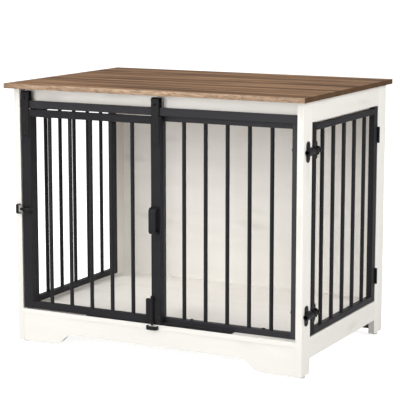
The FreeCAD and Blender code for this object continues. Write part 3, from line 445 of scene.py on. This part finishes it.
def buildGlides():
    mesh = bmesh.new()
    for points in solidsOf("leg_glides"):
        low, high = spanOf(points)
        centre = Vector(((low.x + high.x) / 2, (low.y + high.y) / 2, low.z))
        radius, tall = (high.x - low.x) / 2, high.z - low.z
        profile = [(0.0012, 0.0), (0.0012, glide["pin"]), (0.0, glide["pin"] + 0.0006)]
        profile += [(0.0, radius * 0.8), (0.0006, radius * 0.9), (glide["round"], radius)]
        neck = radius * 0.86
        profile += [(tall * 0.55, radius), (tall * 0.62, neck), (tall, neck), (tall, 0.0)]
        addTurned(mesh, profile, centre, Vector((0, 0, 1)))
    glides = meshPiece("turnedGlides", mesh, coated["paleMoulding"])
    finishPiece(glides, "cabinet", "pale_plastic", "leg_glides")


roller = {
    "groove": 0.0046, "tread": 0.009, "bore": 0.00305, "boss": 0.0055, "dish": 0.0012, "rim": 0.002,
    "round": 0.0006, "segments": 48,
}


def buildRoller(side):
    low, high = boxOf(side + "_roller")
    centre = (low + high) / 2
    half, flange = (high.y - low.y) / 2, (high.x - low.x) / 2
    ease, groove, boss, count = roller["round"], roller["groove"], roller["boss"], roller["segments"]
    rim, web = flange - roller["rim"], half - roller["dish"]
    face = [(half, boss), (web, boss + ease), (web, rim - ease)]
    face += [(half, rim), (half, flange - ease), (half - ease, flange)]
    face += [(groove + ease, flange), (groove, flange - ease), (groove, roller["tread"])]
    front = [(-reach, radius) for reach, radius in face]
    profile = [(-half, roller["bore"])] + front + face[::-1] + [(half, roller["bore"])]
    mesh = bmesh.new()
    rings = addTurned(mesh, profile, centre, Vector((0, 1, 0)), count)
    for k in range(count):
        nextK = (k + 1) % count
        mesh.faces.new((rings[-1][k], rings[-1][nextK], rings[0][nextK], rings[0][k]))
    wheel = meshPiece(side + "RollerWheel", mesh, coated["blackMoulding"])
    finishPiece(wheel, side + "_roller", "black_plastic", side + "_roller")


boltLook = {"chamfer": 0.0012, "stub": 0.0022, "ball": 0.0034}


def buildBolt(nodeName, along, knobAlong):
    solid = solidsOf(nodeName)[0]
    low, high = spanOf(solid)
    along, knobAlong = Vector(along), Vector(knobAlong)
    axis = [k for k in range(3) if abs(along[k]) > 0.5][0]
    knobAxis = [k for k in range(3) if abs(knobAlong[k]) > 0.5][0]
    thickAxis = 3 - axis - knobAxis
    radius, cut = (high - low)[thickAxis] / 2, boltLook["chamfer"]
    centre = (low + high) / 2
    centre[knobAxis] = (low if knobAlong[knobAxis] > 0 else high)[knobAxis] + radius * knobAlong[knobAxis]
    start, stop = (low, high) if along[axis] > 0 else (high, low)
    tail = centre.copy()
    tail[axis] = start[axis]
    size = abs(stop[axis] - start[axis])
    profile = [(0.0, 0.0), (0.0, radius - cut), (cut, radius)]
    profile += [(size - cut * 2, radius), (size, radius - cut), (size, 0.0)]
    mesh = bmesh.new()
    addTurned(mesh, profile, tail, along, 32)
    farPoints = [p for p in solid if (p - centre).dot(knobAlong) > radius * 1.5]
    knobLow, knobHigh = spanOf(farPoints)
    knob = centre.copy()
    knob[axis] = (knobLow[axis] + knobHigh[axis]) / 2
    ball, reach = boltLook["ball"], (high - low)[knobAxis] - radius
    arc = [math.pi * (0.78 - 0.78 * k / 7) for k in range(8)]
    stub = [(radius * 0.6, 0.0), (radius * 0.6, boltLook["stub"]), (reach - ball * 1.9, boltLook["stub"])]
    stub += [(reach - ball + ball * math.cos(a), ball * math.sin(a)) for a in arc]
    stub[-1] = (reach, 0.0)
    addTurned(mesh, stub, knob, knobAlong, 24)
    return mesh


def addStrap(mesh, outline, width):  # a closed outline of points pushed along a vector
    near = [mesh.verts.new(p) for p in outline]
    far = [mesh.verts.new(p + width) for p in outline]
    mesh.faces.new(near)
    mesh.faces.new(far)
    for k in range(len(near)):
        nextK = (k + 1) % len(near)
        mesh.faces.new((near[k], near[nextK], far[nextK], far[k]))


def bowOutline(half, reach, roots, strap, bend, steps=8):  # a U in its own plane, legs down
    outer, shoulder = bend + strap, reach - bend - strap
    turn = [math.pi / 2 * k / steps for k in range(steps + 1)]
    points = [(-half, -roots[0]), (-half + strap, -roots[0])]
    points += [(-half + outer - bend * math.cos(a), shoulder + bend * math.sin(a)) for a in turn]
    points += [(half - outer + bend * math.sin(a), shoulder + bend * math.cos(a)) for a in turn]
    points += [(half - strap, -roots[1]), (half, -roots[1])]
    points += [(half - outer + outer * math.cos(a), shoulder + outer * math.sin(a)) for a in turn]
    points += [(-half + outer - outer * math.sin(a), shoulder + outer * math.cos(a)) for a in turn]
    return points


def buildBow(name, origin, across, out, width, shape, ease, body, nodeName, finish):
    mesh = bmesh.new()
    outline = [origin + across * u + out * v for u, v in bowOutline(**shape)]
    addStrap(mesh, outline, width)
    obj = meshPiece(name, mesh, finish)
    bevel = obj.modifiers.new("easedEdges", "BEVEL")
    bevel.width, bevel.segments = ease, 2
    bevel.limit_method, bevel.angle_limit = "ANGLE", math.radians(40)
    finishPiece(obj, body, "black_hardware", nodeName)


handleBow = {"half": 0.040, "reach": 0.026, "roots": (0.0, 0.0), "strap": 0.006, "bend": 0.006}
stapleBow = {"half": 0.015, "reach": 0.015, "roots": (0.004, 0.004), "strap": 0.002, "bend": 0.003}
hangerBow = {"reach": 0.02, "strap": 0.003, "bend": 0.003}
hangerHook = 0.011  # how far the hook drops behind the track


def buildBows():
    low, high = boxOf("pull_handle")
    middle = Vector((low.x, high.y, (low.z + high.z) / 2))
    wide = Vector((high.x - low.x, 0, 0))
    up, front = Vector((0, 0, 1)), Vector((0, -1, 0))
    place = ("sliding_door", "pull_handle", coated["charcoalSteel"])
    buildBow("barHandle", middle, up, front, wide, handleBow, 0.0012, *place)
    low, high = boxOf("latch_staple")
    face = low.y + stapleBow["reach"]
    middle = Vector((low.x, face, (low.z + high.z) / 2))
    wide = Vector((high.x - low.x, 0, 0))
    place = ("cabinet", "latch_staple", coated["blackHardware"])
    buildBow("latchStaple", middle, up, front, wide, stapleBow, 0.0004, *place)
    low, high = boxOf("drop_bolt_staple")
    middle = Vector(((low.x + high.x) / 2, face, low.z))
    wide = Vector((0, 0, high.z - low.z))
    shape = dict(stapleBow, half=(high.x - low.x) / 2)
    across = Vector((-1, 0, 0))
    place = ("cabinet", "drop_bolt_staple", coated["blackHardware"])
    buildBow("dropStaple", middle, across, front, wide, shape, 0.0004, *place)
    hookFoot = boxOf("door_track")[1].z - hangerHook
    across = Vector((0, 1, 0))
    for side in ("left", "right"):
        low, high = boxOf(side + "_hanger")
        bowFoot = high.z - hangerBow["reach"]
        shape = dict(hangerBow, half=(high.y - low.y) / 2, roots=(bowFoot - low.z, bowFoot - hookFoot))
        origin = Vector((low.x, (low.y + high.y) / 2, bowFoot))
        wide = Vector((high.x - low.x, 0, 0))
        place = ("sliding_door", side + "_hanger", coated["blackHardware"])
        buildBow(side + "HangerStrap", origin, across, up, wide, shape, 0.0006, *place)


buildGlides()
for side in ("left", "right"):
    buildRoller(side)
for nodeName, along, knobAlong in (
    ("door_latch_bolt", (-1, 0, 0), (0, 0, -1)), ("drop_bolt", (0, 0, -1), (-1, 0, 0)),
    ("upper_side_bolt", (0, -1, 0), (0, 0, -1)), ("lower_side_bolt", (0, -1, 0), (0, 0, -1)),
):
    rod = buildBolt(nodeName, along, knobAlong)
    shaft = meshPiece(pieceName(nodeName, "Rod"), rod, coated["blackHardware"])
    finishPiece(shaft, nodeName, "black_hardware", nodeName)
buildBows()
print("turned and bent pieces built")

# fasteners and welds by geometry nodes

screwHead = {
    "Head Radius": 0.0036, "Head Height": 0.0021, "Recess Width": 0.0009, "Recess Depth": 0.0011,
    "Seed": 4,
}
panelHead = {"Head Radius": 0.0066, "Head Height": 0.0041, "Recess Width": 0.0014, "Recess Depth": 0.0018}
hexNut = {"Nut Radius": 0.0046, "Nut Height": 0.0032, "Bolt Radius": 0.002, "Seed": 9}
weldBead = {"Bar Radius": 0.006, "Bead Radius": 0.0012, "Seed": 2}


def pointTree(name, sizes):
    inputs = [("Points", "NodeSocketGeometry", None), ("Finish", "NodeSocketMaterial", None)]
    for label, value in sizes.items():
        inputs.append((label, "NodeSocketInt" if label == "Seed" else "NodeSocketFloat", value))
    return newGroup(name, "GeometryNodeTree", inputs, [("Geometry", "NodeSocketGeometry")])


def finishTree(tree, given, result, shape, spin):
    named = {"Name": "facing"}
    facing = firstOut(tree, "GeometryNodeInputNamedAttribute", named, data_type="FLOAT_VECTOR")
    turned = firstOut(tree, "FunctionNodeAlignRotationToVector", {"Vector": facing}, axis="Z")
    angle = addNode(tree, "FunctionNodeRandomValue", data_type="FLOAT")
    angle.inputs[2].default_value, angle.inputs[3].default_value = 0.0, spin
    tree.links.new(given["Seed"], angle.inputs["Seed"])
    own = firstOut(tree, "FunctionNodeAxisAngleToRotation", {"Angle": angle.outputs[1]})
    both = firstOut(tree, "FunctionNodeRotateRotation", {0: turned, 1: own}, rotation_space="LOCAL")
    points = firstOut(tree, "GeometryNodeMeshToPoints", {"Mesh": given["Points"]})
    placed = {"Points": points, "Instance": shape, "Rotation": both}
    copies = firstOut(tree, "GeometryNodeInstanceOnPoints", placed)
    plain = firstOut(tree, "GeometryNodeRealizeInstances", {"Geometry": copies})
    dressed = firstOut(tree, "GeometryNodeSetMaterial", {"Geometry": plain, "Material": given["Finish"]})
    tree.links.new(dressed, result["Geometry"])
    return tree


def movedTo(tree, shape, place):
    return firstOut(tree, "GeometryNodeTransform", {"Geometry": shape, "Translation": place})


def cubeAt(tree, size, place):
    return movedTo(tree, firstOut(tree, "GeometryNodeMeshCube", {"Size": size}), place)


def buildScrewTree():  # a domed head with a cross recess
    tree, given, result = pointTree("crossHeads", screwHead)
    radius, tall = given["Head Radius"], given["Head Height"]
    ball = firstOut(tree, "GeometryNodeMeshUVSphere", {"Segments": 24, "Rings": 12, "Radius": radius})
    flat = vector(tree, 1.0, 1.0, maths(tree, "DIVIDE", tall, radius))
    dome = firstOut(tree, "GeometryNodeTransform", {"Geometry": ball, "Scale": flat})
    wide = maths(tree, "MULTIPLY", radius, 3.0)
    drop = maths(tree, "MULTIPLY", radius, -1.5)
    under = cubeAt(tree, vector(tree, wide, wide, wide), vector(tree, z=drop))
    deep = maths(tree, "MULTIPLY", given["Recess Depth"], 2.0)
    arm = maths(tree, "MULTIPLY", radius, 1.15)
    first = cubeAt(tree, vector(tree, arm, given["Recess Width"], deep), vector(tree, z=tall))
    second = cubeAt(tree, vector(tree, given["Recess Width"], arm, deep), vector(tree, z=tall))
    kind = "GeometryNodeMeshBoolean"
    head = addNode(tree, kind, {"Mesh 1": dome}, operation="DIFFERENCE", solver="EXACT")
    for tool in (under, first, second):
        tree.links.new(tool, head.inputs["Mesh 2"])
    return finishTree(tree, given, result, head.outputs["Mesh"], 1.5)


def buildNutTree():  # a hexagon nut with the end of its bolt
    tree, given, result = pointTree("hexNuts", hexNut)
    tall = given["Nut Height"]
    both = addNode(tree, "GeometryNodeMeshBoolean", operation="UNION", solver="EXACT")
    for sides, radius, lift in ((6, given["Nut Radius"], 0.5), (20, given["Bolt Radius"], 0.85)):
        sizes = {"Vertices": sides, "Radius": radius, "Depth": tall}
        shape = firstOut(tree, "GeometryNodeMeshCylinder", sizes)
        place = vector(tree, z=maths(tree, "MULTIPLY", tall, lift))
        tree.links.new(movedTo(tree, shape, place), both.inputs["Mesh 2"])
    return finishTree(tree, given, result, both.outputs["Mesh"], 1.0)


def buildWeldTree():  # a bead round the end of a bar
    tree, given, result = pointTree("barWelds", weldBead)
    circle = "GeometryNodeCurvePrimitiveCircle"
    path = firstOut(tree, circle, {"Resolution": 28, "Radius": given["Bar Radius"]})
    profile = firstOut(tree, circle, {"Resolution": 8, "Radius": given["Bead Radius"]})
    bead = firstOut(tree, "GeometryNodeCurveToMesh", {"Curve": path, "Profile Curve": profile})
    return finishTree(tree, given, result, bead, 0.0)


def scatter(name, tree, places, material, sizes=None):  # places of (point, facing)
    data = bpy.data.meshes.new(name + "Points")
    data.from_pydata([point for point, _ in places], [], [])
    facing = data.attributes.new("facing", "FLOAT_VECTOR", "POINT")
    for k, (_, direction) in enumerate(places):
        facing.data[k].vector = direction
    holder = bpy.data.objects.new(name + "Points", data)
    scene.collection.objects.link(holder)
    modifier = holder.modifiers.new("copies", "NODES")
    modifier.node_group = tree
    chosen = dict(sizes or {}, Finish=material)
    for item in tree.interface.items_tree:
        if item.in_out == "INPUT" and item.name in chosen:
            modifier[item.identifier] = chosen[item.name]
    ready = holder.evaluated_get(bpy.context.evaluated_depsgraph_get())
    plain = bpy.data.meshes.new_from_object(ready)
    holder.modifiers.remove(modifier)
    bpy.data.objects.remove(holder)
    plain.name = name
    obj = bpy.data.objects.new(name, plain)
    scene.collection.objects.link(obj)
    return obj


def headPlaces(nodeName, look):  # where each head of this size sits and the way it faces
    places = []
    for points in solidsOf(nodeName):
        low, high = spanOf(points)
        size = high - low
        axis = max(range(3), key=lambda k: size[k])
        centre = (low + high) / 2
        sides = {}
        for sign, end in ((-1, low[axis]), (1, high[axis])):
            hub = centre.copy()
            hub[axis] = end
            sides[sign] = max((p - hub).length for p in points if abs(p[axis] - end) < 1e-5)
        sign = max(sides, key=sides.get)
        if abs(sides[sign] - look["Head Radius"]) > 0.001:
            continue  # a flush screw has no head
        seat = centre.copy()
        seat[axis] = (high if sign > 0 else low)[axis] - sign * look["Head Height"]
        places.append((seat, Vector([sign * (k == axis) for k in range(3)])))
    return places


screwTree, nutTree, weldTree = buildScrewTree(), buildNutTree(), buildWeldTree()
for nodeName, body in (
    ("cabinet_screws", "cabinet"), ("sliding_door_screws", "sliding_door"),
    ("side_door_screws", "side_door"),
):
    spots = headPlaces(nodeName, screwHead)
    heads = scatter(pieceName(body, "ScrewHeads"), screwTree, spots, coated["blackFastener"])
    finishPiece(heads, body, "black_fastener", nodeName)
    print(nodeName, len(spots), "heads placed")
spots = headPlaces("cabinet_screws", panelHead)
heads = scatter("GrilleScrewHeads", screwTree, spots, coated["blackFastener"], panelHead)
finishPiece(heads, "cabinet", "black_fastener")
print(len(spots), "grille heads placed")


def buildHangerBolts():
    heads, nuts = [], []
    doorBack = boxOf("sliding_door_left_stile")[1].y
    hangerFront = boxOf("left_hanger")[0].y
    for points in solidsOf("hanger_bolts"):
        low, high = spanOf(points)
        centre = (low + high) / 2
        if high.y - low.y > 0.01:
            heads.append((Vector((centre.x, hangerFront, centre.z)), Vector((0, -1, 0))))
            nuts.append((Vector((centre.x, doorBack, centre.z)), Vector((0, 1, 0))))
    front = scatter("HangerBoltHeads", screwTree, heads, coated["blackFastener"])
    finishPiece(front, "sliding_door", "black_fastener", "hanger_bolts")
    rear = scatter("HangerNuts", nutTree, nuts, coated["blackFastener"])
    finishPiece(rear, "sliding_door", "black_fastener")


def buildWelds():
    for nodeName, body in (
        ("sliding_door_bars", "sliding_door"), ("front_panel_bars", "cabinet"),
        ("left_panel_bars", "cabinet"), ("side_door_bars", "side_door"),
    ):
        ends = []
        for points in solidsOf(nodeName):
            low, high = spanOf(points)
            centre = (low + high) / 2
            for height in (low.z, high.z):
                ends.append((Vector((centre.x, centre.y, height)), Vector((0, 0, 1))))
        beads = scatter(pieceName(nodeName, "Welds"), weldTree, ends, coated["charcoalSteel"])
        finishPiece(beads, body, "black_steel")


buildHangerBolts()
buildWelds()
print("fasteners and welds built")

# stage, light and camera

studio = {
    "floor": (0.74, 0.74, 0.74, 1.0), "floorGlow": 0.85, "world": 0.45,
    "key": 98.0, "keyPlace": (-0.7, -4.5, 1.5), "keySize": 2.2,
    "lift": 41.0, "liftPlace": (-0.5, -2.8, 3.8), "liftSize": 2.2,
    "fill": 117.0, "fillPlace": (4.2, -0.8, 2.3), "fillSize": 2.2,
    "side": 86.0, "sidePlace": (-3.8, -0.4, 3.0), "sideSize": 2.2,
    "back": 36.0, "backPlace": (-0.6, 4.2, 0.5), "backSize": 1.0,
}
camera = {
    "azimuth": 27.431, "elevation": 9.417, "distance": 4.8948, "look": (-0.0032, 0.0, 0.4421),
    "focal": 1563.4, "picture": 400,  # in pixels
}


def buildStage():
    mesh = bmesh.new()
    for x, y in ((-90, -90), (90, -90), (90, 90), (-90, 90)):
        mesh.verts.new((x, y, -0.0004))
    mesh.faces.new(mesh.verts)
    material = bpy.data.materials.new("studioFloor")
    material.use_nodes = True
    tree = material.node_tree
    shader = tree.nodes["Principled BSDF"]
    shader.inputs["Base Color"].default_value = studio["floor"]
    shader.inputs["Roughness"].default_value = 0.9
    shader.inputs["Specular IOR Level"].default_value = 0.0
    shader.inputs["Emission Color"].default_value = (1.0, 1.0, 1.0, 1.0)
    seen = addNode(tree, "ShaderNodeLightPath").outputs["Is Camera Ray"]  # its glow lights nothing
    tree.links.new(maths(tree, "MULTIPLY", seen, studio["floorGlow"]), shader.inputs["Emission Strength"])
    meshPiece("studioFloor", mesh, material, smooth=False)
    world = bpy.data.worlds.new("studioSky")
    scene.world = world
    world.use_nodes = True
    world.node_tree.nodes["Background"].inputs["Color"].default_value = (1.0, 1.0, 1.0, 1.0)
    seen = addNode(world.node_tree, "ShaderNodeLightPath").outputs["Is Camera Ray"]
    strength = remap(world.node_tree, seen, 0.0, 1.0, studio["world"], 1.0)
    world.node_tree.links.new(strength, world.node_tree.nodes["Background"].inputs["Strength"])
    for label in ("key", "lift", "fill", "side", "back"):
        data = bpy.data.lights.new(label + "Softbox", "AREA")
        data.energy, data.size = studio[label], studio[label + "Size"]
        lamp = bpy.data.objects.new(label + "Softbox", data)
        lamp.location = studio[label + "Place"]
        aim = Vector((0, 0, 0.4)) - lamp.location
        lamp.rotation_euler = aim.to_track_quat("-Z", "Y").to_euler()
        scene.collection.objects.link(lamp)
    scene.view_settings.view_transform = "Standard"


def buildCamera():
    azimuth, elevation = math.radians(camera["azimuth"]), math.radians(camera["elevation"])
    flat = math.cos(elevation)
    back = Vector((math.sin(azimuth) * flat, -math.cos(azimuth) * flat, math.sin(elevation)))
    data = bpy.data.cameras.new("photoCamera")
    data.sensor_width = 36.0
    data.lens = camera["focal"] * data.sensor_width / camera["picture"]
    obj = bpy.data.objects.new("photoCamera", data)
    obj.location = Vector(camera["look"]) + back * camera["distance"]
    obj.rotation_euler = (-back).to_track_quat("-Z", "Y").to_euler()
    scene.collection.objects.link(obj)
    scene.camera = obj


buildStage()
buildCamera()
print("stage and camera set")
